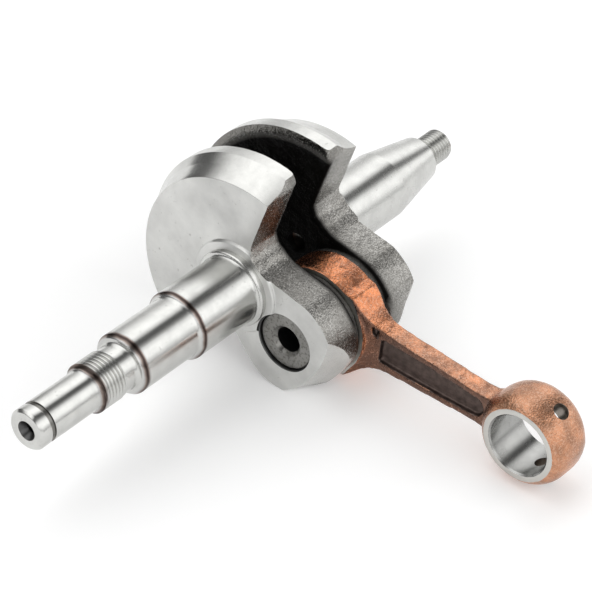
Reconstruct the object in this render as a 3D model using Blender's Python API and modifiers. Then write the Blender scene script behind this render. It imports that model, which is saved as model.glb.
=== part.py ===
# Small two-stroke engine crankshaft with its connecting rod, in metres, +Z up.
#
# Shaft frame: S = distance along the shaft from the middle of the crank throat, positive
# toward the flywheel end (world +X); V = from the shaft axis toward the crank pin;
# W = square to both.  The crank lies on the corners of its two webs and the small end of
# the rod touches the same floor, which is z = 0.
import math

import bpy
from mathutils import Matrix, Vector

MM = 0.001

# ---- crank ---------------------------------------------------------------------------------
THROW = 17.2            # shaft axis to crank pin axis (stroke 34.4)
WEB_RADIUS = 30.3       # turned rim of both webs
WEB_FACE_RADIUS = 27.2  # edge of the outer web face, at the small end of the turned cone
WEB_INNER = 6.2         # inner web face, from the middle of the throat
WEB_RIM_END = 9.3       # where the rim cylinder ends and the cone begins
WEB_OUTER = 16.0        # outer web face
SECTOR_END = 103.5      # counterweight end faces, degrees from the pin direction
LOBE_RADIUS = 13.8      # outline round the crank pin
NECK_V = 5.6            # where the straight flank of the lobe begins
NECK_W = 10.4
NOTCH_RADIUS = 9.9      # bottom of the notch between lobe and counterweight
PAD_RADIUS = 12.6       # raised pad on the inner web face
PAD_FACE = 4.5          # pad face, from the middle of the throat
BOSS_RADIUS = 11.7      # low turned boss on the outer web face
BOSS_HEIGHT = 0.7
SEAT_RING_RADIUS = 9.6  # ring the main bearing's inner race stops against
SEAT_RING_END = 18.2
PIN_BORE_RADIUS = 7.30

JOURNAL_RADIUS = 8.5    # main bearings, 17 mm bore
COLLAR_RADIUS = 7.5     # second journal, 15 mm
CLUTCH_THREAD_RADIUS = 6.0
STUB_RADIUS = 5.0
CLUTCH_END = 85.0
TAPER_END_RADIUS = 5.7
FLYWHEEL_THREAD_RADIUS = 4.0
FLYWHEEL_END = 62.5
KEYWAY_WIDTH = 2.5
KEYWAY_DEPTH = 1.5

# ---- crank pin and needle bearing ----------------------------------------------------------
PIN_RADIUS = 7.25
PIN_HALF_LENGTH = 15.2
PIN_HOLE_RADIUS = 3.2
ROLLERS = 15
ROLLER_RADIUS = 1.25
ROLLER_LENGTH = 6.2
PITCH_RADIUS = 8.515
CAGE_INNER = 7.55
CAGE_OUTER = 9.45
CAGE_WIDTH = 8.0
WINDOW_WIDTH = 2.64
WINDOW_LENGTH = 6.5

# ---- connecting rod ------------------------------------------------------------------------
ROD_LENGTH = 58.5
BIG_END_RADIUS = 13.6
BIG_END_HALF = 4.3
BIG_BORE_RADIUS = 9.81
SMALL_END_RADIUS = 11.8
SMALL_FACE_RADIUS = 9.15
SMALL_END_HALF = 6.2
SMALL_BORE_RADIUS = 7.5
SHANK_HALF_WIDTH = 4.6
SHANK_HALF_DEPTH = 2.5
FLANGE = 1.5
POCKET_DEPTH = 1.4
OIL_HOLE_RADIUS = 1.9
OIL_HOLE_ANGLE = 60.0

# ---- how it lies ---------------------------------------------------------------------------
PIN_ANGLE = -29.32      # pin direction below the horizontal, degrees
ROD_ANGLE = -1.95       # rod direction below the horizontal, degrees
AXIS_HEIGHT = 22.205
AXIS_X = 11.25
AXIS_Y = 27.485

SEG_SHAFT = 32
SEG_WEB = 60
SEG_BORE = 48
SEG_END = 40


def wipe():
    for obj in list(bpy.data.objects):
        bpy.data.objects.remove(obj, do_unlink=True)
    for coll in list(bpy.data.collections):
        bpy.data.collections.remove(coll)


def make_collection(name):
    coll = bpy.data.collections.new(name)
    bpy.context.scene.collection.children.link(coll)
    return coll


def material(name, colour, metallic, rough):
    mat = bpy.data.materials.new(name)
    mat.use_nodes = True
    node = mat.node_tree.nodes["Principled BSDF"]
    node.inputs["Base Color"].default_value = (*colour, 1.0)
    node.inputs["Metallic"].default_value = metallic
    node.inputs["Roughness"].default_value = rough
    mat.diffuse_color = (*colour, 1.0)
    return mat


def frame_matrix(angle_deg, centre):
    # local X = a direction in the YZ plane at this angle above the viewer's horizontal (-Y),
    # local Z = world +X
    a = math.radians(angle_deg)
    along = Vector((0.0, -math.cos(a), math.sin(a)))
    shaft = Vector((1.0, 0.0, 0.0))
    side = shaft.cross(along)
    mat = Matrix((along, side, shaft)).transposed().to_4x4()
    mat.translation = centre
    return mat


def lathe(name, pairs, steps, coll, mats):
    # closed turned body about local Z; pairs of (radius, z) in mm run down the outer side
    mesh = bpy.data.meshes.new(name)
    verts = [(r * MM, 0.0, z * MM) for r, z in pairs]
    mesh.from_pydata(verts, [(i, i + 1) for i in range(len(verts) - 1)], [])
    obj = bpy.data.objects.new(name, mesh)
    coll.objects.link(obj)
    if pairs[0] == pairs[-1]:
        raise ValueError("profile must be open: " + name)
    screw = obj.modifiers.new("turn", "SCREW")
    screw.axis = "Z"
    screw.angle = math.tau
    screw.steps = steps
    screw.render_steps = steps
    screw.use_merge_vertices = True
    screw.merge_threshold = 0.00001
    screw.use_smooth_shade = True
    mesh.materials.append(mats)
    return obj


def plate(name, points, z_low, z_high, coll, mats):
    # flat outline in mm filled and given thickness, as a closed mesh
    curve = bpy.data.curves.new(name, "CURVE")
    curve.dimensions = "2D"
    curve.fill_mode = "BOTH"
    curve.extrude = (z_high - z_low) / 2.0 * MM
    spline = curve.splines.new("POLY")
    spline.points.add(len(points) - 1)
    for slot, (px, py) in zip(spline.points, points):
        slot.co = (px * MM, py * MM, 0.0, 1.0)
    spline.use_cyclic_u = True
    temp = bpy.data.objects.new(name + "_outline", curve)
    coll.objects.link(temp)
    graph = bpy.context.evaluated_depsgraph_get()
    mesh = bpy.data.meshes.new_from_object(temp.evaluated_get(graph))
    bpy.data.objects.remove(temp, do_unlink=True)
    bpy.data.curves.remove(curve)
    mesh.transform(Matrix.Translation((0.0, 0.0, (z_low + z_high) / 2.0 * MM)))
    weld(mesh)
    mesh.materials.clear()
    mesh.materials.append(mats)
    mesh.name = name
    obj = bpy.data.objects.new(name, mesh)
    coll.objects.link(obj)
    return obj


def weld(mesh):
    import bmesh
    bm = bmesh.new()
    bm.from_mesh(mesh)
    bmesh.ops.remove_doubles(bm, verts=bm.verts, dist=0.000001)
    bmesh.ops.recalc_face_normals(bm, faces=bm.faces)
    bm.to_mesh(mesh)
    bm.free()


def combine(obj, other, operation):
    # one exact Boolean, kept as a modifier; the other body becomes a hidden cutter
    mod = obj.modifiers.new(operation.lower() + "_" + other.name, "BOOLEAN")
    mod.operation = operation
    mod.solver = "EXACT"
    mod.object = other
    other.hide_render = True
    other.hide_viewport = False
    other.display_type = "WIRE"


def bake(obj):
    # turn the modifier result into plain mesh data, in the same local frame
    graph = bpy.context.evaluated_depsgraph_get()
    mesh = bpy.data.meshes.new_from_object(obj.evaluated_get(graph))
    weld(mesh)
    mesh.name = obj.name
    obj.modifiers.clear()
    obj.data = mesh


def smooth(obj, angle=32.0):
    mesh = obj.data
    mesh.shade_smooth()
    mesh.set_sharp_from_angle(angle=math.radians(angle))


def arc(cx, cy, radius, start, end, count):
    out = []
    for i in range(count + 1):
        a = math.radians(start + (end - start) * i / count)
        out.append((cx + radius * math.cos(a), cy + radius * math.sin(a)))
    return out


def web_outline():
    # seen along the shaft, V to the right; upper half first, then its mirror image
    reach = WEB_RADIUS + 2.0
    upper = arc(THROW, 0.0, LOBE_RADIUS, 0.0, 96.0, 10)
    upper = [p for p in upper if p[1] > 0.5]
    upper.append((NECK_V, NECK_W))
    start = math.degrees(math.atan2(NECK_W, NECK_V)) + 14.0
    upper += arc(0.0, 0.0, NOTCH_RADIUS + 0.6, start, SECTOR_END - 10.0, 2)
    end = math.radians(SECTOR_END)
    upper.append((math.cos(end) * 12.6, math.sin(end) * 12.6))
    upper.append((math.cos(end) * reach, math.sin(end) * reach))
    corner = math.degrees(end)
    back = arc(0.0, 0.0, reach, corner + 12.0, 180.0, 6)
    lower = [(v, -w) for v, w in reversed(upper)]
    mirror = [(v, -w) for v, w in reversed(back[:-1])]
    return upper + back + mirror + lower


def web_disc(sign):
    rim = [
        (0.0, WEB_OUTER), (WEB_FACE_RADIUS, WEB_OUTER), (WEB_FACE_RADIUS + 1.1, 13.4),
        (WEB_FACE_RADIUS + 2.2, 11.2), (WEB_RADIUS, WEB_RIM_END), (WEB_RADIUS, WEB_INNER + 0.6),
        (WEB_RADIUS - 0.6, WEB_INNER), (0.0, WEB_INNER),
    ]
    return rim if sign > 0 else [(r, -z) for r, z in reversed(rim)]


def shaft_clutch():
    return [
        (0.0, -12.0), (SEAT_RING_RADIUS, -12.0), (SEAT_RING_RADIUS, -14.8),
        (BOSS_RADIUS, -15.2), (BOSS_RADIUS, -WEB_OUTER - BOSS_HEIGHT + 0.3),
        (BOSS_RADIUS - 0.4, -WEB_OUTER - BOSS_HEIGHT), (SEAT_RING_RADIUS, -WEB_OUTER - BOSS_HEIGHT),
        (SEAT_RING_RADIUS, -SEAT_RING_END), (JOURNAL_RADIUS, -SEAT_RING_END),
        (JOURNAL_RADIUS, -36.5), (JOURNAL_RADIUS - 0.5, -37.0), (COLLAR_RADIUS, -37.0),
        (COLLAR_RADIUS, -54.8), (COLLAR_RADIUS - 0.6, -55.5), (6.05, -55.5), (5.55, -56.0),
        (5.55, -58.5), (CLUTCH_THREAD_RADIUS, -59.0), (CLUTCH_THREAD_RADIUS, -66.3), (5.4, -67.0),
        (STUB_RADIUS, -67.0), (STUB_RADIUS, -80.8), (4.45, -80.8), (4.45, -82.0),
        (STUB_RADIUS, -82.0), (STUB_RADIUS, -84.4), (STUB_RADIUS - 0.6, -CLUTCH_END),
        (2.26, -CLUTCH_END), (1.2, -83.2), (1.2, -79.6), (0.0, -78.9),
    ]


def shaft_flywheel():
    return [
        (0.0, 58.2), (1.0, 58.8), (1.0, 61.5), (1.7, FLYWHEEL_END),
        (FLYWHEEL_THREAD_RADIUS - 0.8, FLYWHEEL_END), (FLYWHEEL_THREAD_RADIUS, 61.7),
        (FLYWHEEL_THREAD_RADIUS, 54.6), (3.5, 54.3), (3.5, 53.5), (TAPER_END_RADIUS - 0.4, 53.5),
        (TAPER_END_RADIUS, 53.1), (JOURNAL_RADIUS, 37.5), (JOURNAL_RADIUS, SEAT_RING_END),
        (SEAT_RING_RADIUS, SEAT_RING_END), (SEAT_RING_RADIUS, WEB_OUTER + BOSS_HEIGHT),
        (BOSS_RADIUS - 0.4, WEB_OUTER + BOSS_HEIGHT), (BOSS_RADIUS, WEB_OUTER + BOSS_HEIGHT - 0.3),
        (BOSS_RADIUS, 15.2), (SEAT_RING_RADIUS, 14.8), (SEAT_RING_RADIUS, 12.0), (0.0, 12.0),
    ]


def crank_half(name, sign, profile, coll, cutters, mats):
    # web = outline cut out of the turned disc, then the pad and the shaft joined on
    low, high = sorted((sign * (WEB_INNER - 1.0), sign * (WEB_OUTER + 1.0)))
    base = lathe(name, web_disc(sign), SEG_WEB, coll, mats)
    combine(base, plate(name + "_outline", web_outline(), low, high, cutters, mats), "INTERSECT")
    pad = [(0.0, 8.0), (PAD_RADIUS, 8.0), (PAD_RADIUS, PAD_FACE + 0.3),
           (PAD_RADIUS - 0.3, PAD_FACE), (0.0, PAD_FACE)]
    pad = pad if sign > 0 else [(r, -z) for r, z in reversed(pad)]
    pad_body = lathe(name + "_pad", pad, SEG_END, cutters, mats)
    pad_body.data.transform(Matrix.Identity(4))
    pad_body.location = (THROW * MM, 0.0, 0.0)
    combine(base, pad_body, "UNION")
    combine(base, lathe(name + "_shaft", profile, SEG_SHAFT, cutters, mats), "UNION")
    bore = lathe(name + "_bore", [(0.0, 22.0), (PIN_BORE_RADIUS, 22.0), (PIN_BORE_RADIUS, -22.0),
                                  (0.0, -22.0)], SEG_BORE, cutters, mats)
    bore.location = (THROW * MM, 0.0, 0.0)
    combine(base, bore, "DIFFERENCE")
    centre = [(0.0, sign * 5.0), (2.7, sign * 5.0), (2.7, sign * 8.6), (0.0, sign * 10.2)]
    centre = centre if sign < 0 else list(reversed(centre))
    combine(base, lathe(name + "_centre", centre, 16, cutters, mats), "DIFFERENCE")
    return base


def keyway(base, cutters, mats):
    # woodruff slot: a disc sunk into the taper on the side away from the pin
    disc = lathe("keyway", [(0.0, KEYWAY_WIDTH / 2.0), (5.0, KEYWAY_WIDTH / 2.0),
                            (5.0, -KEYWAY_WIDTH / 2.0), (0.0, -KEYWAY_WIDTH / 2.0)],
                 24, cutters, mats)
    disc.rotation_euler = (math.radians(90.0), 0.0, 0.0)
    disc.location = (-(7.2 - KEYWAY_DEPTH + 5.0) * MM, 0.0, 45.0 * MM)
    combine(base, disc, "DIFFERENCE")


def rod_outline():
    # shank seen along the shaft, with its flares into the two ends
    return [
        (4.0, 12.0), (9.5, 11.4), (12.2, 8.3), (15.4, 6.1), (19.5, 5.2), (24.0, 5.0),
        (34.0, SHANK_HALF_WIDTH), (43.5, 4.1), (46.5, 4.4), (49.0, 6.0), (51.0, 8.6),
        (58.0, 9.6), (58.0, -9.6), (51.0, -8.6), (49.0, -6.0), (46.5, -4.4), (43.5, -4.1),
        (34.0, -SHANK_HALF_WIDTH), (24.0, -5.0), (19.5, -5.2), (15.4, -6.1), (12.2, -8.3),
        (9.5, -11.4), (4.0, -12.0),
    ]


def connecting_rod(coll, cutters, mats):
    name = "connecting_rod"
    big = [(0.0, BIG_END_HALF), (BIG_END_RADIUS - 0.5, BIG_END_HALF),
           (BIG_END_RADIUS, BIG_END_HALF - 0.7), (BIG_END_RADIUS, -BIG_END_HALF + 0.7),
           (BIG_END_RADIUS - 0.5, -BIG_END_HALF), (0.0, -BIG_END_HALF)]
    base = lathe(name, big, SEG_END, coll, mats)
    shank = plate("rod_shank", rod_outline(), -SHANK_HALF_DEPTH, SHANK_HALF_DEPTH, cutters, mats)
    combine(base, shank, "UNION")
    barrel = []
    for share, radius in ((1.0, SMALL_FACE_RADIUS), (0.86, 10.1), (0.68, 11.0), (0.45, 11.6),
                          (0.2, SMALL_END_RADIUS)):
        barrel.append((radius, SMALL_END_HALF * share))
    barrel = [(0.0, SMALL_END_HALF)] + barrel
    barrel += [(r, -z) for r, z in reversed(barrel)]
    small = lathe("rod_small_end", barrel, SEG_END, cutters, mats)
    small.location = (ROD_LENGTH * MM, 0.0, 0.0)
    combine(base, small, "UNION")
    half = SHANK_HALF_WIDTH - FLANGE
    recess = [(17.2, -half - 0.2), (17.2, half + 0.2), (30.0, half + 0.2)]
    recess += arc(45.2 - half + 0.5, 0.0, half - 0.5, 90.0, -90.0, 6) + [(30.0, -half - 0.2)]
    for side, tag in ((1.0, "far"), (-1.0, "near")):
        low, high = sorted((side * (SHANK_HALF_DEPTH - POCKET_DEPTH), side * 8.0))
        combine(base, plate("rod_pocket_" + tag, recess, low, high, cutters, mats), "DIFFERENCE")
    hole = 0.3
    bore = lathe("rod_big_bore", [(0.0, 9.0), (BIG_BORE_RADIUS + 4.7 + hole, 9.0),
                                  (BIG_BORE_RADIUS, BIG_END_HALF - hole),
                                  (BIG_BORE_RADIUS, -BIG_END_HALF + hole),
                                  (BIG_BORE_RADIUS + 4.7 + hole, -9.0), (0.0, -9.0)],
                 SEG_BORE, cutters, mats)
    combine(base, bore, "DIFFERENCE")
    reach = SMALL_END_HALF + 2.0
    eye = lathe("rod_small_bore", [(0.0, reach), (SMALL_BORE_RADIUS + 2.4, reach),
                                   (SMALL_BORE_RADIUS, SMALL_END_HALF - 0.4),
                                   (SMALL_BORE_RADIUS, -SMALL_END_HALF + 0.4),
                                   (SMALL_BORE_RADIUS + 2.4, -reach), (0.0, -reach)],
                SEG_END, cutters, mats)
    eye.location = (ROD_LENGTH * MM, 0.0, 0.0)
    combine(base, eye, "DIFFERENCE")
    for side, tag in ((1.0, "upper"), (-1.0, "lower")):
        a = math.radians(OIL_HOLE_ANGLE * side)
        drill = lathe("rod_oil_hole_" + tag, [(0.0, 14.0), (OIL_HOLE_RADIUS, 14.0),
                                              (OIL_HOLE_RADIUS, 3.0), (0.0, 3.0)],
                      16, cutters, mats)
        aim = Vector((math.cos(a), math.sin(a), 0.0)).to_track_quat("Z", "Y")
        drill.matrix_world = Matrix.Translation((ROD_LENGTH * MM, 0.0, 0.0)) @ aim.to_matrix().to_4x4()
        combine(base, drill, "DIFFERENCE")
    return base


def needle_cage(coll, cutters, mats):
    half = CAGE_WIDTH / 2.0
    base = lathe("big_end_needle_cage", [(0.0, half), (CAGE_OUTER, half), (CAGE_OUTER, -half),
                                         (0.0, -half)], ROLLERS * 4, coll, mats)
    hole = lathe("cage_bore", [(0.0, 6.0), (CAGE_INNER, 6.0), (CAGE_INNER, -6.0), (0.0, -6.0)],
                 ROLLERS * 4, cutters, mats)
    combine(base, hole, "DIFFERENCE")
    for i in range(ROLLERS):
        corners = [(6.4, -WINDOW_WIDTH / 2.0), (11.0, -WINDOW_WIDTH / 2.0),
                   (11.0, WINDOW_WIDTH / 2.0), (6.4, WINDOW_WIDTH / 2.0)]
        box = plate("cage_window_%02d" % (i + 1), corners, -WINDOW_LENGTH / 2.0,
                    WINDOW_LENGTH / 2.0, cutters, mats)
        box.rotation_euler = (0.0, 0.0, math.tau * (i + 0.5) / ROLLERS)
        combine(base, box, "DIFFERENCE")
    return base


def build():
    wipe()
    coll = make_collection("crankshaft")
    cutters = make_collection("construction")
    steel = material("turned_steel", (0.60, 0.60, 0.59), 1.0, 0.28)
    hard = material("ground_steel", (0.42, 0.42, 0.42), 1.0, 0.30)
    copper = material("copper_plating", (0.60, 0.28, 0.18), 1.0, 0.42)
    cage_mat = material("cage_steel", (0.50, 0.50, 0.48), 1.0, 0.35)
    roller_mat = material("bearing_steel", (0.70, 0.70, 0.70), 1.0, 0.15)

    shaft_centre = Vector((AXIS_X, AXIS_Y, AXIS_HEIGHT)) * MM
    crank_frame = frame_matrix(PIN_ANGLE, shaft_centre)
    pin_centre = crank_frame @ Vector((THROW * MM, 0.0, 0.0))
    rod_frame = frame_matrix(ROD_ANGLE, pin_centre)
    pin_frame = frame_matrix(PIN_ANGLE, pin_centre)

    placed = []
    clutch = crank_half("clutch_side_crank_half", -1, shaft_clutch(), coll, cutters, steel)
    fly = crank_half("flywheel_side_crank_half", 1, shaft_flywheel(), coll, cutters, steel)
    keyway(fly, cutters, steel)
    placed.append((clutch, crank_frame))
    placed.append((fly, crank_frame))

    end = PIN_HALF_LENGTH
    pin = lathe("crank_pin", [(PIN_HOLE_RADIUS + 0.5, end), (PIN_RADIUS - 0.5, end),
                              (PIN_RADIUS, end - 0.5), (PIN_RADIUS, -end + 0.5),
                              (PIN_RADIUS - 0.5, -end), (PIN_HOLE_RADIUS + 0.5, -end),
                              (PIN_HOLE_RADIUS, -end + 0.5), (PIN_HOLE_RADIUS, end - 0.5)],
                SEG_BORE, coll, hard)
    loop = pin.data
    loop.edges.add(1)
    loop.edges[-1].vertices = (7, 0)
    placed.append((pin, pin_frame))

    rod = connecting_rod(coll, cutters, copper)
    placed.append((rod, rod_frame))
    cage = needle_cage(coll, cutters, cage_mat)
    placed.append((cage, pin_frame))

    half = ROLLER_LENGTH / 2.0
    for i in range(ROLLERS):
        roller = lathe("needle_roller_%02d" % (i + 1),
                       [(0.0, half), (ROLLER_RADIUS - 0.15, half), (ROLLER_RADIUS, half - 0.2),
                        (ROLLER_RADIUS, -half + 0.2), (ROLLER_RADIUS - 0.15, -half),
                        (0.0, -half)], 16, coll, roller_mat)
        a = math.tau * (i + 0.5) / ROLLERS
        spot = Matrix.Translation((PITCH_RADIUS * math.cos(a) * MM,
                                   PITCH_RADIUS * math.sin(a) * MM, 0.0))
        placed.append((roller, pin_frame @ spot))

    bpy.context.view_layer.update()
    for obj, spot in placed:
        bake(obj)
    for cutter in list(cutters.objects):
        bpy.data.objects.remove(cutter, do_unlink=True)
    bpy.data.collections.remove(cutters)
    for obj, spot in placed:
        obj.matrix_world = spot
        smooth(obj)
    bpy.context.view_layer.update()


build()
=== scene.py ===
import math

import bmesh
import bpy
from mathutils import Matrix, Vector, noise


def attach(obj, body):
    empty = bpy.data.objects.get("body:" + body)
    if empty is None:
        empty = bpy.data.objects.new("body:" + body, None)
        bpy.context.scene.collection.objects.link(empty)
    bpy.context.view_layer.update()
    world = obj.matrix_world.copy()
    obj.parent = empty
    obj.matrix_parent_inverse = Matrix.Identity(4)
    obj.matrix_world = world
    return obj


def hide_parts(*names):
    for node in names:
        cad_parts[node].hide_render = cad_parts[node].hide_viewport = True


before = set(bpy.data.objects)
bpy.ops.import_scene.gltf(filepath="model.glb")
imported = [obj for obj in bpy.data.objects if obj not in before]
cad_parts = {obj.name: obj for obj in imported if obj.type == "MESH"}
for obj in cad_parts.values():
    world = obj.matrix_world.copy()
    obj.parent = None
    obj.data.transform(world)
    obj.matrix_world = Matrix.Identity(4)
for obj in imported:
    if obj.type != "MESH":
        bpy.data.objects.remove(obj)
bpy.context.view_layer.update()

MM = 0.001

# shaft frame: S along the shaft (world +X), V toward the crank pin, in millimetres
AXIS = Vector((11.25, 27.485, 22.205))
PIN_ANGLE = -29.32
ROD_ANGLE = -1.95
THROW = 17.2
ROD_LENGTH = 58.5

# crank webs: radii, distances of faces from the middle of the crank, sector half angle
WEB_RADIUS = 30.3
WEB_FACE_RADIUS = 27.2
WEB_OUTER = 16.0
WEB_RIM_END = 9.3
WEB_INNER = 6.2
WEB_LIP = 5.7
PAD_FACE = 4.5
PAD_RADIUS = 12.6
SECTOR_END = 103.5
LOBE_RADIUS = 13.8
PIN_BORE = 7.32
BOSS = 11.7
BEYOND_WEB = 22.0
RIM_STOCK = 2.4

# shafts: radii, then places along the shaft (clutch side negative)
JOURNAL = 8.5
COLLAR = 7.5
STUB = 5.0
SEAT_RING = 9.6
CLUTCH_THREAD = 6.0
CLUTCH_THREAD_ROOT = 5.46
FLYWHEEL_THREAD = 4.0
THREAD_PITCH = 1.0
JOURNAL_END = -36.3
COLLAR_END = -54.5
THREAD_END = -66.2
CLUTCH_END = -85.0
TAPER_START = 37.5
FLYWHEEL_END = 62.5

# crank pin
PIN_RADIUS = 7.25
PIN_HALF_LENGTH = 15.2
PIN_HOLE = 3.2
PIN_CHAMFER = 0.3

# connecting rod: radii, ground side faces, oil holes
BIG_END = 13.6
BIG_END_FACE = 4.3
BIG_BORE = 9.81
SMALL_END = 11.5
SMALL_END_FACE = 6.2
SMALL_BORE = 7.5
OIL_HOLE = 1.9
OIL_HOLE_ANGLE = 60.0
BEYOND_ROD = 8.0

# camera fitted to the object
CAM_AZIMUTH = -54.0
CAM_ELEVATION = 38.23
CAM_ROLL = 4.83
CAM_DISTANCE = 634.3
CAM_LENS = 165.85
CAM_TARGET = Vector((11.25, 21.885, 13.016))


# ---------------------------------------------------------------- frames

def local_frame(angle_deg, centre_mm):
    a = math.radians(angle_deg)
    along = Vector((0.0, -math.cos(a), math.sin(a)))
    shaft = Vector((1.0, 0.0, 0.0))
    mat = Matrix((along, shaft.cross(along), shaft)).transposed().to_4x4()
    mat.translation = centre_mm * MM
    return mat


CRANK = local_frame(PIN_ANGLE, AXIS)
PIN_CENTRE = CRANK @ Vector((THROW * MM, 0.0, 0.0)) / MM
PIN = local_frame(PIN_ANGLE, PIN_CENTRE)
ROD = local_frame(ROD_ANGLE, PIN_CENTRE)


# ---------------------------------------------------------------- node helpers

class Nodes:
    # builds a node tree with socket values set directly
    def __init__(self, tree):
        self.tree = tree

    def link(self, a, b):
        self.tree.links.new(a, b)

    def node(self, kind, **settings):
        made = self.tree.nodes.new(kind)
        for key, value in settings.items():
            setattr(made, key, value)
        return made

    def put(self, socket, value):
        if isinstance(value, bpy.types.NodeSocket):
            self.link(value, socket)
        elif isinstance(value, tuple) and len(value) == 3 and socket.type == "RGBA":
            socket.default_value = (*value, 1.0)
        else:
            socket.default_value = value

    def noise(self, vector, scale, detail=2.0, rough=0.5, distortion=0.0):
        made = self.node("ShaderNodeTexNoise")
        self.link(vector, made.inputs["Vector"])
        made.inputs["Scale"].default_value = scale
        made.inputs["Detail"].default_value = detail
        made.inputs["Roughness"].default_value = rough
        made.inputs["Distortion"].default_value = distortion
        return made.outputs["Fac"]

    def maths(self, op, a, b=0.0):
        made = self.node("ShaderNodeMath", operation=op)
        self.put(made.inputs[0], a)
        self.put(made.inputs[1], b)
        return made.outputs[0]

    def remap(self, value, low, high, out_low, out_high, interpolation="LINEAR"):
        made = self.node("ShaderNodeMapRange", interpolation_type=interpolation)
        self.put(made.inputs["Value"], value)
        for key, number in (("From Min", low), ("From Max", high),
                            ("To Min", out_low), ("To Max", out_high)):
            made.inputs[key].default_value = number
        return made.outputs["Result"]

    def fade(self, length, low_mm, high_mm, out_low, out_high):
        # remap of a length that the tree holds in metres, between limits in millimetres
        return self.remap(length, low_mm * MM, high_mm * MM, out_low, out_high)

    def mix(self, factor, a, b):
        made = self.node("ShaderNodeMix", data_type="RGBA")
        self.put(made.inputs[0], factor)
        self.put(made.inputs[6], a)
        self.put(made.inputs[7], b)
        return made.outputs[2]

    def bump(self, height, strength, distance):
        made = self.node("ShaderNodeBump")
        self.put(made.inputs["Height"], height)
        made.inputs["Strength"].default_value = strength
        made.inputs["Distance"].default_value = distance
        return made.outputs["Normal"]


class Graph(Nodes):
    # one material, whose patterns lie in the frame of the part that wears it
    def __init__(self, name, frame_matrix):
        self.frame = frame_matrix
        self.mat = bpy.data.materials.new(name)
        self.mat.use_nodes = True
        super().__init__(self.mat.node_tree)
        self.tree.nodes.clear()
        out = self.node("ShaderNodeOutputMaterial")
        self.bsdf = self.node("ShaderNodeBsdfPrincipled")
        self.link(self.bsdf.outputs[0], out.inputs["Surface"])

    def point(self):
        # position in the part's own frame, in metres
        tex = self.node("ShaderNodeTexCoord")
        mapping = self.node("ShaderNodeMapping", vector_type="TEXTURE")
        mapping.inputs["Location"].default_value = self.frame.to_translation()
        mapping.inputs["Rotation"].default_value = self.frame.to_euler()
        self.link(tex.outputs["Object"], mapping.inputs["Vector"])
        return mapping.outputs["Vector"]

    def coord(self, scale=(1.0, 1.0, 1.0)):
        mapping = self.node("ShaderNodeMapping")
        self.link(self.point(), mapping.inputs["Vector"])
        mapping.inputs["Scale"].default_value = scale
        return mapping.outputs["Vector"]

    def finish(self, colour, metallic, rough, normal=None):
        self.put(self.bsdf.inputs["Base Color"], colour)
        self.put(self.bsdf.inputs["Metallic"], metallic)
        self.put(self.bsdf.inputs["Roughness"], rough)
        if normal is not None:
            self.link(normal, self.bsdf.inputs["Normal"])
        return self.mat


def radius_here(g):
    # distance from the frame's Z axis, and the three coordinates
    split = g.node("ShaderNodeSeparateXYZ")
    g.link(g.point(), split.inputs[0])
    square = g.maths("ADD", g.maths("MULTIPLY", split.outputs[0], split.outputs[0]),
                     g.maths("MULTIPLY", split.outputs[1], split.outputs[1]))
    return g.maths("SQRT", square), split.outputs


def lathe_sheen(g, amount):
    # highlights stretched across the tool marks, which run round the frame's Z axis
    _, axes = radius_here(g)
    around = g.node("ShaderNodeCombineXYZ")
    g.link(g.maths("MULTIPLY", axes[1], -1.0), around.inputs[0])
    g.link(axes[0], around.inputs[1])
    turn = g.node("ShaderNodeMapping", vector_type="NORMAL")
    turn.inputs["Rotation"].default_value = g.frame.to_euler()
    g.link(around.outputs[0], turn.inputs["Vector"])
    shift = g.node("ShaderNodeVectorTransform", vector_type="VECTOR")
    shift.convert_from = "OBJECT"
    shift.convert_to = "WORLD"
    g.link(turn.outputs[0], shift.inputs[0])
    g.link(shift.outputs[0], g.bsdf.inputs["Tangent"])
    g.bsdf.inputs["Anisotropic"].default_value = amount
    g.bsdf.inputs["Anisotropic Rotation"].default_value = 0.25


def polished_steel(name, colour=(0.60, 0.60, 0.58), rough=0.21, tinted_at=(),
                   frame_matrix=CRANK):
    # ground cylinder: rings round the axis, faint pits, heat tint beside some shoulders
    g = Graph(name, frame_matrix)
    rings = g.noise(g.coord((60.0, 60.0, 9000.0)), 1.0, 3.0, 0.6)
    cloud = g.noise(g.coord(), 260.0, 4.0, 0.6)
    fleck = g.noise(g.coord(), 1500.0, 2.0, 0.5)
    roughness = g.remap(cloud, 0.3, 0.8, rough * 0.95, rough * 1.25)
    base = g.mix(g.remap(cloud, 0.4, 0.75, 0.0, 1.0), colour, tuple(c * 0.88 for c in colour))
    base = g.mix(g.remap(fleck, 0.70, 0.76, 0.0, 0.5), base, (0.22, 0.21, 0.19))
    if tinted_at:
        _, axes = radius_here(g)
        wave = g.remap(g.noise(g.coord(), 300.0, 2.0, 0.5), 0.3, 0.7, -0.12, 0.12)
        place = g.maths("ADD", g.maths("DIVIDE", axes[2], MM), wave)
        for spot, reach in tinted_at:
            away = g.maths("ABSOLUTE", g.maths("SUBTRACT", place, spot))
            base = g.mix(g.remap(away, reach * 0.75, reach * 1.25, 0.55, 0.0), base,
                         (0.38, 0.37, 0.38))
            base = g.mix(g.remap(away, reach * 0.45, reach * 0.9, 0.9, 0.0), base,
                         (0.23, 0.175, 0.145))
            base = g.mix(g.remap(away, reach * 0.15, reach * 0.55, 0.95, 0.0), base,
                         (0.045, 0.032, 0.03))
    lathe_sheen(g, 0.6)
    normal = g.bump(rings, 0.10, 0.00002)
    return g.finish(base, 1.0, roughness, normal)


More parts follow.
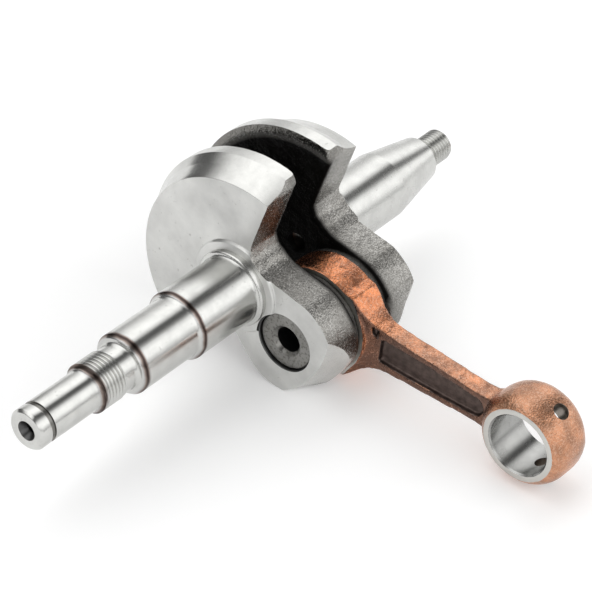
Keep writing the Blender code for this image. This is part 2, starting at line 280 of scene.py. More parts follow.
def turned_face(name, light=(0.68, 0.68, 0.66), dull=(0.58, 0.58, 0.565), rough=0.34,
                spot=(0.20, 0.19, 0.17), spot_size=900.0, spot_from=0.66, spot_share=0.45,
                frame_matrix=CRANK):
    # satin face cut on a lathe: marks run round the frame's Z axis
    g = Graph(name, frame_matrix)
    radius, axes = radius_here(g)
    join = g.node("ShaderNodeCombineXYZ")
    g.link(radius, join.inputs[0])
    g.link(axes[2], join.inputs[1])
    grooves = g.noise(join.outputs[0], 5200.0, 2.0, 0.6)
    cloud = g.noise(g.coord(), 130.0, 5.0, 0.62)
    spots = g.noise(g.coord(), spot_size, 3.0, 0.55)
    base = g.mix(g.remap(cloud, 0.35, 0.7, 0.0, 1.0), light, dull)
    base = g.mix(g.remap(spots, spot_from, spot_from + 0.12, 0.0, spot_share), base, spot)
    lathe_sheen(g, 0.9)
    roughness = g.remap(cloud, 0.3, 0.75, rough * 0.9, rough * 1.25)
    normal = g.bump(grooves, 0.25, 0.00005)
    return g.finish(base, 1.0, roughness, normal)


def forged_steel(name):
    # blasted forging: fine bright grain on the flanks, painted shade darkening them toward the
    # inner web faces, and near-black painted shade over the darker forging of the inner web faces
    g = Graph(name, CRANK)
    flat = g.coord()
    grain = g.noise(flat, 2600.0, 2.0, 0.6)
    coarse = g.noise(flat, 700.0, 4.0, 0.6)
    cloud = g.noise(flat, 110.0, 3.0, 0.5)
    base = g.mix(g.remap(grain, 0.38, 0.62, 0.0, 1.0), (0.20, 0.195, 0.18), (0.44, 0.43, 0.41))
    base = g.mix(g.remap(cloud, 0.4, 0.7, 0.0, 0.4), base, (0.22, 0.21, 0.19))
    radius, axes = radius_here(g)
    depth = g.maths("ABSOLUTE", axes[2])
    # painted shade: the flanks darken toward the inner web faces, where the webs shade each other
    base = g.mix(g.fade(depth, 7.0, 11.0, 0.6, 0.0), base, (0.13, 0.125, 0.115))
    # the near-black painted shade of the inner face stops short of the rim and of the pad round
    # the pin
    scale = g.fade(depth, WEB_INNER + 0.4, WEB_INNER + 1.6, 1.0, 0.0)
    inside_rim = g.fade(radius, WEB_RADIUS - 3.5, WEB_RADIUS - 1.3, 1.0, 0.0)
    across = g.maths("SUBTRACT", axes[0], THROW * MM)
    from_pin = g.maths("SQRT", g.maths("ADD", g.maths("MULTIPLY", across, across),
                                       g.maths("MULTIPLY", axes[1], axes[1])))
    off_pad = g.fade(from_pin, PAD_RADIUS - 0.6, PAD_RADIUS + 0.6, 0.0, 1.0)
    for mask in (inside_rim, off_pad, g.remap(grain, 0.66, 0.80, 1.0, 0.85)):
        scale = g.maths("MULTIPLY", scale, mask)
    # near-black painted shade on the inner web faces, which the same mask makes less metallic
    # below
    base = g.mix(scale, base, (0.003, 0.0028, 0.0025))
    height = g.maths("ADD", grain, g.maths("MULTIPLY", coarse, 1.5))
    normal = g.bump(height, 1.0, 0.00013)
    g.bsdf.inputs["Specular IOR Level"].default_value = 0.02
    rough = g.remap(grain, 0.3, 0.7, 0.15, 0.30)
    metallic = g.maths("SUBTRACT", 1.0, g.maths("MULTIPLY", scale, 0.95))
    return g.finish(base, metallic, rough, normal)


def copper_forging(name):
    # copper plate over the same rough forging: bright and red at the big end, dull along the shank
    # with painted dark brown shade on the faces turned along the crank axis, smoother and more
    # golden at the small end
    g = Graph(name, ROD)
    flat = g.coord()
    grain = g.noise(flat, 2400.0, 2.0, 0.6)
    coarse = g.noise(flat, 520.0, 4.0, 0.65, 0.6)
    cloud = g.noise(flat, 190.0, 4.0, 0.65)
    _, axes = radius_here(g)
    coarse_share = g.fade(axes[0], ROD_LENGTH - 13.0, ROD_LENGTH - 7.0, 1.0, 0.25)
    shank = g.fade(axes[0], 11.0, 19.0, 0.0, 1.0)
    light = g.mix(shank, (0.90, 0.33, 0.145), (0.64, 0.285, 0.155))
    light = g.mix(coarse_share, (0.58, 0.290, 0.170), light)
    dull = g.mix(shank, (0.42, 0.165, 0.085), (0.30, 0.155, 0.100))
    dull = g.mix(coarse_share, (0.40, 0.205, 0.122), dull)
    base = g.mix(g.remap(cloud, 0.38, 0.60, 0.0, 1.0), light, dull)
    base = g.mix(g.remap(grain, 0.48, 0.70, 0.0, 0.45), base, (0.76, 0.50, 0.38))
    dark = g.maths("MULTIPLY", g.remap(coarse, 0.53, 0.68, 0.0, 0.65), coarse_share)
    base = g.mix(dark, base, (0.13, 0.055, 0.032))
    # painted shade: faces turned along the crank axis darken to dark brown, short of the small end
    tex = g.node("ShaderNodeTexCoord")
    normals = g.node("ShaderNodeSeparateXYZ")
    g.link(tex.outputs["Normal"], normals.inputs[0])
    side = g.remap(g.maths("ABSOLUTE", normals.outputs[0]), 0.25, 0.75, 0.0, 0.85)
    before_small_end = g.fade(axes[0], ROD_LENGTH - 11.0, ROD_LENGTH - 8.5, 1.0, 0.0)
    side = g.maths("MULTIPLY", side, before_small_end)
    side = g.maths("MULTIPLY", side, g.remap(grain, 0.58, 0.72, 1.0, 0.45))
    base = g.mix(side, base, (0.10, 0.06, 0.048))
    lumps = g.maths("MULTIPLY", coarse, g.maths("MULTIPLY", coarse_share, 1.5))
    height = g.maths("ADD", grain, lumps)
    normal = g.bump(height, 0.9, 0.00014)
    rough = g.remap(grain, 0.3, 0.7, 0.18, 0.32)
    return g.finish(base, 1.0, rough, normal)


def plain_metal(name, colour, rough, grain_scale=600.0, spread=0.85, frame_matrix=CRANK):
    # one colour with a faint cloud in it
    g = Graph(name, frame_matrix)
    cloud = g.noise(g.coord(), grain_scale, 4.0, 0.6)
    base = g.mix(g.remap(cloud, 0.35, 0.65, 0.0, 1.0), colour, tuple(c * spread for c in colour))
    normal = g.bump(cloud, 0.15, 0.00003)
    return g.finish(base, 1.0, rough, normal)


STEEL = polished_steel("polished_journal", rough=0.25)
# heat tint at the shoulders: place along the shaft, reach
TINTED = polished_steel("tinted_journal", tinted_at=(
    (JOURNAL_END + 0.05, 0.75), (COLLAR_END + 0.05, 0.95), (THREAD_END - 0.1, 1.0)))
FACE = turned_face("turned_web_face")
RIM = polished_steel("turned_rim", rough=0.22)
FORGED = forged_steel("forged_web_flank")
COPPER = copper_forging("copper_plated_forging")
# painted shade: dark brown copper in the pocket and the dimple of the rod
POCKET_SHADE = plain_metal("copper_pocket_painted_shade", (0.115, 0.085, 0.075), 0.42, 700.0, 0.6, ROD)
GROUND = plain_metal("ground_side_face", (0.58, 0.57, 0.54), 0.32, 300.0, 0.93, ROD)
# painted shade: dark steel in the centre hole of each web
CENTRE = plain_metal("centre_hole_painted_shade", (0.13, 0.13, 0.125), 0.28)
BORE = polished_steel("honed_bore", (0.38, 0.38, 0.368), 0.24,
                      frame_matrix=ROD @ Matrix.Translation((ROD_LENGTH * MM, 0.0, 0.0)))
HOLE = plain_metal("drilled_hole", (0.30, 0.27, 0.24), 0.3)
# painted shade: near-black steel inside the bores, the end holes and the keyway
RECESS_SHADE = plain_metal("recess_painted_shade", (0.10, 0.10, 0.10), 0.35)
PIN_FACE = turned_face("mottled_pin_end", (0.30, 0.295, 0.28), (0.24, 0.235, 0.22), 0.34,
                       (0.09, 0.085, 0.075), 1500.0, 0.52, 0.6, PIN)
# painted shade: darker steel in the clip groove
GROOVE = plain_metal("clip_groove_painted_shade", (0.24, 0.235, 0.22), 0.3)
PIN_SIDE = polished_steel("hardened_pin", (0.50, 0.50, 0.49), 0.12, frame_matrix=PIN)
CAGE = plain_metal("cage_sheet_steel", (0.45, 0.45, 0.43), 0.35)
NEEDLE = plain_metal("needle_steel", (0.66, 0.66, 0.65), 0.12)


# ---------------------------------------------------------------- mesh helpers

def new_object(name, mesh, matrix, mats):
    # links a mesh into the scene with its materials
    obj = bpy.data.objects.new(name, mesh)
    bpy.context.scene.collection.objects.link(obj)
    obj.matrix_world = matrix
    for mat in mats:
        mesh.materials.append(mat)
    return obj


def soften(pairs, radius):
    # replaces each inner corner of a profile by a small rounded one
    out = [pairs[0]]
    for before, here, after in zip(pairs, pairs[1:], pairs[2:]):
        a = Vector(before[:2]) - Vector(here[:2])
        b = Vector(after[:2]) - Vector(here[:2])
        size = min(radius, a.length * 0.45, b.length * 0.45)
        if size < 0.004 or here[0] < 1e-6:
            out.append(here)
            continue
        a.normalize()
        b.normalize()
        p = Vector(here[:2])
        start, end = p + a * size, p + b * size
        for t in (0.0, 0.33, 0.67, 1.0):
            q = start * (1 - t) ** 2 + p * 2 * t * (1 - t) + end * t * t
            out.append((q.x, q.y, before[2] if t < 0.5 else here[2]))
    out.append(pairs[-1])
    return out


def turned(name, pairs, steps, matrix, mats, corner=0.15):
    # body of revolution about local Z from (radius, z, material index) points
    pts = [p if len(p) == 3 else (p[0], p[1], 0) for p in pairs]
    pts = soften(pts, corner)
    bm = bmesh.new()
    rings = []
    for r, z, _ in pts:
        if r < 1e-6:
            rings.append([bm.verts.new((0.0, 0.0, z * MM))])
            continue
        ring = []
        for i in range(steps):
            a = math.tau * i / steps
            ring.append(bm.verts.new((r * math.cos(a) * MM, r * math.sin(a) * MM, z * MM)))
        rings.append(ring)
    for (ring, nxt), (_, _, index) in zip(zip(rings, rings[1:]), pts):
        for i in range(steps):
            j = (i + 1) % steps
            if len(ring) == 1 and len(nxt) == 1:
                continue
            if len(ring) == 1:
                face = bm.faces.new((ring[0], nxt[i], nxt[j]))
            elif len(nxt) == 1:
                face = bm.faces.new((ring[i], nxt[0], ring[j]))
            else:
                face = bm.faces.new((ring[i], nxt[i], nxt[j], ring[j]))
            face.material_index = index
    bmesh.ops.recalc_face_normals(bm, faces=bm.faces)
    mesh = bpy.data.meshes.new(name)
    bm.to_mesh(mesh)
    bm.free()
    return new_object(name, mesh, matrix, mats)


def slab(name, points, low, high, matrix, mats):
    # flat outline given thickness
    bm = bmesh.new()
    bottom = [bm.verts.new((x * MM, y * MM, low * MM)) for x, y in points]
    top = [bm.verts.new((x * MM, y * MM, high * MM)) for x, y in points]
    bm.faces.new(bottom)
    bm.faces.new(top)
    for i in range(len(points)):
        j = (i + 1) % len(points)
        bm.faces.new((bottom[i], bottom[j], top[j], top[i]))
    bmesh.ops.recalc_face_normals(bm, faces=bm.faces)
    mesh = bpy.data.meshes.new(name)
    bm.to_mesh(mesh)
    bm.free()
    return new_object(name, mesh, matrix, mats)


def cut(obj, other, operation):
    # Boolean modifier; cut faces take the material of the helper body
    mod = obj.modifiers.new(operation, "BOOLEAN")
    mod.operation = operation
    mod.solver = "EXACT"
    mod.object = other
    mod.material_mode = "TRANSFER"


def settle(obj, spare=()):
    # keeps the evaluated mesh and drops the modifiers and the helper bodies
    bpy.context.view_layer.update()
    graph = bpy.context.evaluated_depsgraph_get()
    mesh = bpy.data.meshes.new_from_object(obj.evaluated_get(graph))
    obj.modifiers.clear()
    obj.data = mesh
    for other in spare:
        bpy.data.objects.remove(other, do_unlink=True)


def carve(obj, other, operation):
    # one Boolean at once, after which the helper body is gone
    cut(obj, other, operation)
    settle(obj, [other])


def forge(obj, voxel, passes, wobble, wobble_scale):
    # soft forged skin: even mesh, rounded edges, slight unevenness
    remesh = obj.modifiers.new("skin", "REMESH")
    remesh.mode = "VOXEL"
    remesh.voxel_size = voxel * MM
    remesh.use_smooth_shade = True
    smooth = obj.modifiers.new("round", "SMOOTH")
    smooth.factor = 0.5
    smooth.iterations = passes
    settle(obj)
    mesh = obj.data
    normals = [v.normal.copy() for v in mesh.vertices]
    for v, n in zip(mesh.vertices, normals):
        lump = noise.noise(v.co * wobble_scale) + 0.5 * noise.noise(v.co * wobble_scale * 2.7)
        v.co += n * (lump * wobble * MM)
    mesh.update()


def shade(obj, angle):
    # smooth shading with edges above the angle kept sharp
    obj.data.shade_smooth()
    obj.data.set_sharp_from_angle(angle=math.radians(angle))


def polar(angle_deg, radius):
    a = math.radians(angle_deg)
    return math.cos(a) * radius, math.sin(a) * radius


def arc(cx, cy, radius, start, end, count):
    # points of an arc, angles in degrees
    out = []
    for i in range(count + 1):
        a = math.radians(start + (end - start) * i / count)
        out.append((cx + radius * math.cos(a), cy + radius * math.sin(a)))
    return out


def mirrored(half):
    # closes an outline about the local X axis
    return half + [(x, -y) for x, y in reversed(half) if abs(y) > 1e-6]


def ride(obj, body, node):
    # bakes the piece to world coordinates and hands it to its body
    bpy.context.view_layer.update()
    obj.data.transform(obj.matrix_world)
    obj.matrix_world = Matrix.Identity(4)
    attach(obj, body)
    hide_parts(node)


# ---------------------------------------------------------------- crank webs

def web_outline():
    # pin lobe, waist and counterweight sector; the rim's stock is turned off later
    rim = WEB_RADIUS + RIM_STOCK
    half = arc(THROW, 0.0, LOBE_RADIUS, 0.0, 97.0, 28)
    half.append((5.8, 10.5))
    half += arc(0.0, 0.0, 10.6, 74.0, 94.0, 6)
    half += [polar(SECTOR_END, r) for r in (12.8, 20.0, 26.0, 27.8)]
    half += [polar(SECTOR_END + turn, r) for turn, r in ((1.2, 29.4), (3.4, 30.6), (6.5, 31.8))]
    half += arc(0.0, 0.0, rim, SECTOR_END + 10.0, 180.0, 40)
    return mirrored(half)


def flipped(profile):
    # mirrors a (radius, z, material) profile; each material index stays with its segment
    points = [(r, -z) for r, z, _ in reversed(profile)]
    marks = [m for _, _, m in profile[-2::-1]] + [0]
    return [(r, z, m) for (r, z), m in zip(points, marks)]


def web(side, name, node):
    # forged blank, then the turned faces, the pin bore and the centre hole cut from it
    low, high = sorted((side * WEB_LIP, side * (WEB_OUTER + 2.0)))
    blank = slab(name, web_outline(), low, high, CRANK, [FORGED])
    bevel = [(0.0, BEYOND_WEB, 0), (34.0, BEYOND_WEB, 0), (34.0, 8.0, 0), (31.6, 6.5, 0),
             (30.0, 5.9, 0), (28.6, WEB_LIP, 0), (25.5, WEB_INNER, 0), (0.0, WEB_INNER, 0)]
    if side < 0:
        bevel = flipped(bevel)
    carve(blank, turned(name + "_taper", bevel, 120, CRANK, [FORGED], 0.0), "INTERSECT")
    pad_low, pad_high = sorted((side * (PAD_FACE - 0.6), side * (WEB_INNER + 1.5)))
    pad_spot = CRANK @ Matrix.Translation((THROW * MM, 0.0, 0.0))
    pad = turned(name + "_pad", [(0.0, pad_high), (PAD_RADIUS, pad_high), (PAD_RADIUS, pad_low),
                                 (0.0, pad_low)], 96, pad_spot, [FORGED], 0.3)
    carve(blank, pad, "UNION")
    forge(blank, voxel=0.42, passes=16, wobble=0.12, wobble_scale=260.0)
    blank.data.materials.clear()
    blank.data.materials.append(FORGED)

    rim = [
        (0.0, WEB_OUTER + 0.7, 0), (BOSS - 0.35, WEB_OUTER + 0.7, 0), (BOSS, WEB_OUTER + 0.35, 0),
        (BOSS, WEB_OUTER + 0.15, 0), (BOSS + 0.25, WEB_OUTER, 0), (WEB_FACE_RADIUS, WEB_OUTER, 1),
        (27.85, 14.2, 1), (28.8, 11.8, 1), (WEB_RADIUS, WEB_RIM_END, 1),
        (WEB_RADIUS, PAD_FACE, 0), (0.0, PAD_FACE, 0),
    ]
    pin_hole = [(0.0, BEYOND_WEB, 0), (PIN_BORE + 0.3, BEYOND_WEB, 0), (PIN_BORE + 0.2, 15.98, 0),
                (PIN_BORE, 15.75, 0), (PIN_BORE, 2.0, 0), (0.0, 2.0, 0)]
    centre = [(0.0, 9.6, 0), (2.65, 8.0, 0), (2.65, 3.0, 0), (0.0, 3.0, 0)]
    if side < 0:
        rim, pin_hole, centre = flipped(rim), flipped(pin_hole), flipped(centre)
    disc = turned(name + "_disc", rim, 180, CRANK, [FACE, RIM], 0.12)
    carve(blank, disc, "INTERSECT")
    bore = turned(name + "_bore", pin_hole, 128, pad_spot, [RECESS_SHADE], 0.0)
    cut(blank, bore, "DIFFERENCE")
    drill = turned(name + "_drill", centre, 48, CRANK, [CENTRE], 0.0)
    cut(blank, drill, "DIFFERENCE")
    settle(blank, [bore, drill])
    shade(blank, 38.0)
    ride(blank, "crank", node)


web(-1, "clutch_side_web", "clutch_side_crank_half")
web(1, "flywheel_side_web", "flywheel_side_crank_half")


# ---------------------------------------------------------------- shafts and threads

def thread(name, radius, depth, start, end, mats):
    # helical ridge on a sleeve; its ends fade into the shaft
    steps = 72
    # share of a turn, height of the flank there
    marks = [(0.0, 0.0), (0.12, 0.0), (0.44, 1.0), (0.56, 1.0), (0.88, 0.0)]
    per = len(marks)
    turns = int((end - start) / THREAD_PITCH) + 3
    bm = bmesh.new()
    grid = []
    for j in range(steps):
        column = []
        for k in range(turns * per):
            share, level = marks[k % per]
            z = start + (k // per - 1 + share + j / steps) * THREAD_PITCH
            ease = min(1.0, max(0.0, (z - start) / 0.5), max(0.0, (end - z) / 0.7))
            z = min(max(z, start), end)
            r = radius - depth * (1.0 - level)
            r = min(r, radius - depth - 0.08 + (depth + 0.08) * max(0.0, ease))
            a = math.tau * j / steps
            column.append(bm.verts.new((r * math.cos(a) * MM, r * math.sin(a) * MM, z * MM)))
        grid.append(column)
    for j in range(steps):
        last = j == steps - 1
        nxt = grid[0] if last else grid[j + 1]
        shift = per if last else 0
        for k in range(turns * per - 1):
            if k + 1 + shift < turns * per:
                bm.faces.new((grid[j][k], nxt[k + shift], nxt[k + 1 + shift], grid[j][k + 1]))
    bmesh.ops.remove_doubles(bm, verts=bm.verts, dist=0.0000005)
    bmesh.ops.dissolve_degenerate(bm, edges=bm.edges, dist=0.0000005)
    bmesh.ops.holes_fill(bm, edges=[e for e in bm.edges if e.is_boundary], sides=0)
    bmesh.ops.recalc_face_normals(bm, faces=bm.faces)
    mesh = bpy.data.meshes.new(name)
    bm.to_mesh(mesh)
    bm.free()
    obj = new_object(name, mesh, CRANK, mats)
    shade(obj, 35.0)
    return obj


def clutch_shaft():
    # ring at the bearing seat, journal, collar, undercut, thread root, stub with a clip groove
    profile = [
        (0.0, -15.4, 0), (SEAT_RING, -15.4, 0), (SEAT_RING, -17.9, 0), (SEAT_RING - 0.3, -18.2, 0),
        (9.0, -18.25, 0), (8.65, -18.5, 0), (JOURNAL, -19.0, 0), (JOURNAL, JOURNAL_END, 0),
        (JOURNAL - 0.55, -36.95, 0), (7.8, -37.05, 0), (7.6, -37.3, 0), (COLLAR, -37.8, 0),
        (COLLAR, COLLAR_END, 0), (COLLAR - 0.7, -55.4, 0), (6.3, -55.5, 0), (5.95, -55.65, 0),
        (5.7, -56.0, 0), (5.6, -56.5, 0), (5.6, -59.0, 0), (CLUTCH_THREAD_ROOT, -59.3, 0),
        (CLUTCH_THREAD_ROOT, THREAD_END, 0),
        (5.4, -67.0, 0), (5.2, -67.1, 0), (5.06, -67.3, 0), (STUB, -67.8, 0), (STUB, -80.8, 1),
        (4.45, -80.85, 1), (4.45, -81.95, 1), (STUB, -82.0, 0), (STUB, -84.35, 0),
        (STUB - 0.6, CLUTCH_END, 0), (2.4, CLUTCH_END, 2), (1.35, -83.2, 2), (1.2, -79.6, 2),
        (0.0, -78.9, 2),
    ]
    obj = turned("clutch_side_shaft", profile, 144, CRANK, [TINTED, GROOVE, RECESS_SHADE], 0.14)
    shade(obj, 40.0)
    ride(obj, "crank", "clutch_side_crank_half")
    ridge = thread("clutch_thread", CLUTCH_THREAD, 0.52, -66.8, -58.9, [TINTED])
    ride(ridge, "crank", "clutch_side_crank_half")


def flywheel_shaft():
    # thread root, taper with a keyway, journal, ring at the bearing seat
    profile = [
        (0.0, 58.2, 1), (1.0, 58.8, 1), (1.0, 61.5, 1), (1.7, FLYWHEEL_END, 0),
        (3.2, FLYWHEEL_END, 0),
        (3.5, 62.1, 0), (3.5, 54.4, 0), (3.45, 53.5, 0), (5.2, 53.5, 0), (5.7, 53.1, 0),
        (JOURNAL, TAPER_START, 0), (JOURNAL, 18.9, 0), (8.9, 18.2, 0), (SEAT_RING - 0.3, 18.2, 0),
        (SEAT_RING, 17.9, 0), (SEAT_RING, 15.4, 0), (0.0, 15.4, 0),
    ]
    obj = turned("flywheel_side_shaft", profile, 144, CRANK, [STEEL, RECESS_SHADE], 0.14)
    key = turned("keyway_cutter", [(0.0, 1.25), (5.0, 1.25), (5.0, -1.25), (0.0, -1.25)], 96,
                 CRANK @ Matrix.Translation((-10.7 * MM, 0.0, 45.0 * MM))
                 @ Matrix.Rotation(math.radians(90.0), 4, "X"), [RECESS_SHADE], 0.0)
    carve(obj, key, "DIFFERENCE")
    shade(obj, 40.0)
    ride(obj, "crank", "flywheel_side_crank_half")
    ridge = thread("flywheel_thread", FLYWHEEL_THREAD, 0.58, 54.5, 62.3, [STEEL])
    ride(ridge, "crank", "flywheel_side_crank_half")


clutch_shaft()
flywheel_shaft()


# ---------------------------------------------------------------- crank pin

def crank_pin():
    # hollow pin with chamfered ends, pressed into both webs
    face, edge = PIN_HALF_LENGTH, PIN_HALF_LENGTH - PIN_CHAMFER
    mouth, bore_end = 4.0, 14.3
    profile = [
        (PIN_HOLE, bore_end, 0), (mouth, face, 0), (PIN_RADIUS - PIN_CHAMFER, face, 0),
        (PIN_RADIUS, edge, 2), (PIN_RADIUS, -edge, 0), (PIN_RADIUS - PIN_CHAMFER, -face, 0),
        (mouth, -face, 0), (PIN_HOLE, -bore_end, 1), (PIN_HOLE, bore_end, 1),
    ]
    obj = turned("crank_pin_turned", profile, 128, PIN, [PIN_FACE, RECESS_SHADE, PIN_SIDE], 0.1)
    bm = bmesh.new()
    bm.from_mesh(obj.data)
    bmesh.ops.remove_doubles(bm, verts=bm.verts, dist=0.000001)
    bmesh.ops.recalc_face_normals(bm, faces=bm.faces)
    bm.to_mesh(obj.data)
    bm.free()
    shade(obj, 40.0)
    ride(obj, "crank", "crank_pin")


crank_pin()


# ---------------------------------------------------------------- connecting rod

def loft(name, sections, matrix, mats):
    # four-sided bar along local X from (x, half width, half depth) sections
    bm = bmesh.new()
    rings = [[bm.verts.new((x * MM, y * w * MM, z * d * MM))
              for y, z in ((1, 1), (-1, 1), (-1, -1), (1, -1))] for x, w, d in sections]
    for ring, nxt in zip(rings, rings[1:]):
        for i in range(4):
            j = (i + 1) % 4
            bm.faces.new((ring[i], ring[j], nxt[j], nxt[i]))
    bm.faces.new(rings[0])
    bm.faces.new(rings[-1])
    bmesh.ops.recalc_face_normals(bm, faces=bm.faces)
    mesh = bpy.data.meshes.new(name)
    bm.to_mesh(mesh)
    bm.free()
    return new_object(name, mesh, matrix, mats)


# shank of the rod: place along it, half width, half depth
SHANK = (
    (4.0, 12.2, 4.4), (9.3, 11.4, 4.4), (11.3, 9.4, 4.1), (13.2, 7.6, 3.4), (15.4, 6.3, 2.8),
    (18.5, 5.5, 2.5), (24.0, 5.05, 2.5), (34.0, 4.65, 2.5), (41.0, 4.25, 2.5),
    (44.5, 4.15, 2.55), (47.0, 4.4, 2.7), (49.0, 5.1, 3.1), (50.8, 6.6, 3.7), (52.5, 8.4, 4.2),
    (58.0, 8.4, 4.2),
)


def pocket_outline():
    # hollow of the I-section, narrower and rounded toward the small end
    points = [(17.2, -3.25), (17.2, 3.25), (22.5, 3.25), (30.0, 3.15), (38.0, 2.85)]
    points += arc(43.8, 0.0, 2.5, 90.0, -90.0, 16)
    points += [(38.0, -2.85), (30.0, -3.15), (22.5, -3.25)]
    return points


def rod_blank(spot):
    # forging before machining: big end, shank, barrel-shaped small end
    disc = [(0.0, 5.0), (13.1, 5.0), (BIG_END, 4.2), (BIG_END, -4.2), (13.1, -5.0), (0.0, -5.0)]
    big = turned("connecting_rod_forging", disc, 128, ROD, [COPPER], 0.3)
    carve(big, loft("rod_shank", SHANK, ROD, [COPPER]), "UNION")
    curve = [(8.2, 6.95), (9.2, 6.25), (10.2, 5.35), (10.95, 4.2), (11.35, 2.9), (SMALL_END, 1.3)]
    barrel = [(0.0, 6.9)] + curve + [(r, -z) for r, z in reversed(curve)] + [(0.0, -6.9)]
    carve(big, turned("rod_small_end", barrel, 128, spot, [COPPER], 0.2), "UNION")
    for side in (1.0, -1.0):
        pocket = slab("rod_pocket", pocket_outline(), *sorted((side * 1.1, side * BEYOND_ROD)),
                      ROD, [POCKET_SHADE])
        carve(big, pocket, "DIFFERENCE")
        dimple = slab("rod_dimple", [(14.0, -5.7), (16.3, -4.9), (15.3, -3.0)],
                      *sorted((side * 1.6, side * BEYOND_ROD)), ROD, [POCKET_SHADE])
        carve(big, dimple, "DIFFERENCE")
    forge(big, voxel=0.34, passes=5, wobble=0.06, wobble_scale=420.0)
    return big


def in_recess(x, y, z):
    # inside the pocket of the I-section, or inside the dimple at its root, where the painted shade
    # goes
    pocket_half = 3.4 - 0.022 * max(0.0, x - 22.0)
    pocket = 16.7 < x < 46.8 and abs(y) < pocket_half and abs(z) < 2.42
    dimple = 13.6 < x < 16.5 and -5.7 < y < -2.9 and abs(z) < 2.7
    return pocket or dimple


def rod_tools(spot):
    # ground faces, bores and oil holes, each as the body that it takes away
    tools = []
    for side in (1.0, -1.0):
        low, high = sorted((side * BIG_END_FACE, side * BEYOND_ROD), reverse=True)
        tools.append(turned("rod_big_side", [(0.0, low), (14.6, low), (14.6, high), (0.0, high)],
                            96, ROD, [GROUND], 0.0))
        low, high = sorted((side * SMALL_END_FACE, side * 9.0), reverse=True)
        tools.append(turned("rod_small_side", [(0.0, low), (12.5, low), (12.5, high),
                                               (0.0, high)], 96, spot, [GROUND], 0.0))
    tools.append(turned("rod_big_bore", [(0.0, 9.0), (14.3, 9.0), (BIG_BORE, 4.0),
                                         (BIG_BORE, -4.0), (14.3, -9.0), (0.0, -9.0)],
                        128, ROD, [BORE], 0.0))
    tools.append(turned("rod_small_bore", [(0.0, 9.0), (10.6, 9.0), (SMALL_BORE, 5.8),
                                           (SMALL_BORE, -5.8), (10.6, -9.0), (0.0, -9.0)],
                        160, spot, [BORE], 0.0))
    for side in (1.0, -1.0):
        aim = Vector((*polar(OIL_HOLE_ANGLE * side, 1.0), 0.0))
        turn = aim.to_track_quat("Z", "Y").to_matrix().to_4x4()
        tools.append(turned("rod_oil_hole", [(0.0, 14.0), (3.2, 13.2), (1.95, 11.3),
                                             (OIL_HOLE, 9.5), (OIL_HOLE, 3.0), (0.0, 3.0)],
                            48, spot @ turn, [HOLE], 0.0))
    return tools


def connecting_rod():
    spot = ROD @ Matrix.Translation((ROD_LENGTH * MM, 0.0, 0.0))
    rod = rod_blank(spot)
    rod.data.materials.clear()
    for mat in (COPPER, POCKET_SHADE):
        rod.data.materials.append(mat)
    # faces in the pocket and the dimple take the painted shade
    for poly in rod.data.polygons:
        poly.material_index = int(in_recess(*(c / MM for c in poly.center)))
    for tool in rod_tools(spot):
        carve(rod, tool, "DIFFERENCE")
    shade(rod, 42.0)
    ride(rod, "rod", "connecting_rod")


connecting_rod()


# ---------------------------------------------------------------- bearing, from the solids

for node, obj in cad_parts.items():
    if node.startswith("needle_roller") or node == "big_end_needle_cage":
        obj.data.materials.clear()
        obj.data.materials.append(CAGE if node == "big_end_needle_cage" else NEEDLE)


# ---------------------------------------------------------------- studio

def floor():
    # plain white table just under the part
    g = Graph("white_table", Matrix.Identity(4))
    g.finish((0.85, 0.85, 0.85), 0.0, 0.6)
    g.bsdf.inputs["Specular IOR Level"].default_value = 0.1
    g.bsdf.inputs["Emission Color"].default_value = (1.0, 1.0, 1.0, 1.0)
    g.bsdf.inputs["Emission Strength"].default_value = 0.22
    bm = bmesh.new()
    half = 3.0
    corners = ((-half, -half), (half, -half), (half, half), (-half, half))
    bm.faces.new([bm.verts.new((x, y, 0.0)) for x, y in corners])
    mesh = bpy.data.meshes.new("table_top")
    bm.to_mesh(mesh)
    bm.free()
    obj = new_object("table_top", mesh, Matrix.Translation((0.0, 0.0, -0.00005)), [g.mat])


# brightness of the studio round a level axis near the shaft, by angle above the horizon
SKY = (
    (0.0, 0.78), (15.0, 0.78), (29.0, 1.02), (43.0, 1.42), (55.0, 1.72), (74.0, 1.70),
    (86.0, 1.05), (94.0, 0.10), (107.0, 0.12), (115.0, 0.40), (126.0, 1.25), (138.0, 1.64),
    (156.0, 1.60), (168.0, 1.10), (179.0, 0.50),
)
SKY_TOP = 2.0
# dark end of the room behind the shafts: compass limits from +Y toward +X, and height
BACK_EDGE = (20.0, 36.0)
BACK_FADE = (-120.0, -80.0)
BACK_TOP = (16.0, 36.0)
BACK_SHARE = 0.84


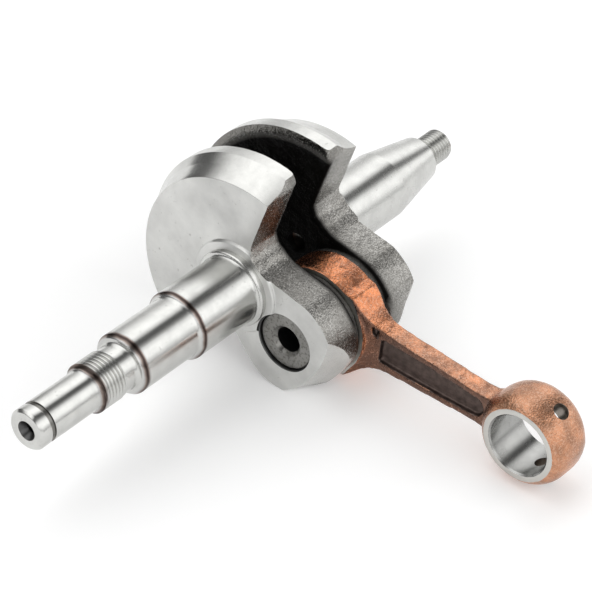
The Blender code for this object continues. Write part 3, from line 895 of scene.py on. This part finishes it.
def studio():
    # soft white room, its bands of light level with the shafts
    world = bpy.data.worlds.new("studio")
    bpy.context.scene.world = world
    world.use_nodes = True
    g = Nodes(world.node_tree)
    split = g.node("ShaderNodeSeparateXYZ")
    g.link(g.node("ShaderNodeTexCoord").outputs["Generated"], split.inputs[0])
    east, north, up = split.outputs

    share = g.maths("DIVIDE", g.maths("ARCTAN2", up, north), math.pi)
    ramp = g.node("ShaderNodeValToRGB")
    g.link(share, ramp.inputs["Fac"])
    stops = ramp.color_ramp.elements
    ramp.color_ramp.interpolation = "EASE"
    while len(stops) < len(SKY):
        stops.new(0.5)
    for stop, (degrees, level) in zip(stops, SKY):
        stop.position = degrees / 180.0
        stop.color = (*[level / SKY_TOP] * 3, 1.0)

    compass = g.maths("ARCTAN2", east, north)
    right = [math.radians(v) for v in BACK_EDGE]
    left = [math.radians(v) for v in BACK_FADE]
    height = [math.sin(math.radians(v)) for v in BACK_TOP]
    beside = g.remap(compass, *right, 1.0, 0.0, "SMOOTHSTEP")
    before = g.remap(compass, *left, 0.0, 1.0, "SMOOTHSTEP")
    below = g.remap(up, *height, 1.0, 0.0, "SMOOTHSTEP")
    patch = g.maths("MULTIPLY", g.maths("MULTIPLY", beside, below), before)
    patch = g.maths("MULTIPLY", patch, BACK_SHARE)
    back = world.node_tree.nodes["Background"]
    g.link(g.mix(patch, ramp.outputs["Color"], (0.0, 0.0, 0.0)), back.inputs["Color"])
    back.inputs["Strength"].default_value = SKY_TOP

    view = bpy.context.scene.view_settings
    view.view_transform = "Standard"
    view.look = "None"
    view.exposure = 0.0
    view.gamma = 1.0


def camera():
    # stands back from the target along azimuth and elevation, then rolls
    data = bpy.data.cameras.new("photo_camera")
    data.sensor_width = 36.0
    data.lens = CAM_LENS
    data.clip_start = 0.01
    data.clip_end = 20.0
    obj = bpy.data.objects.new("photo_camera", data)
    bpy.context.scene.collection.objects.link(obj)
    a, e, t = (math.radians(v) for v in (CAM_AZIMUTH, CAM_ELEVATION, CAM_ROLL))
    back = Vector((math.sin(a) * math.cos(e), -math.cos(a) * math.cos(e), math.sin(e)))
    right = Vector((0.0, 0.0, 1.0)).cross(back).normalized()
    up = back.cross(right)
    turned_right = right * math.cos(t) + up * math.sin(t)
    turned_up = up * math.cos(t) - right * math.sin(t)
    mat = Matrix((turned_right, turned_up, back)).transposed().to_4x4()
    mat.translation = (CAM_TARGET + back * CAM_DISTANCE) * MM
    obj.matrix_world = mat
    bpy.context.scene.camera = obj


floor()
studio()
camera()
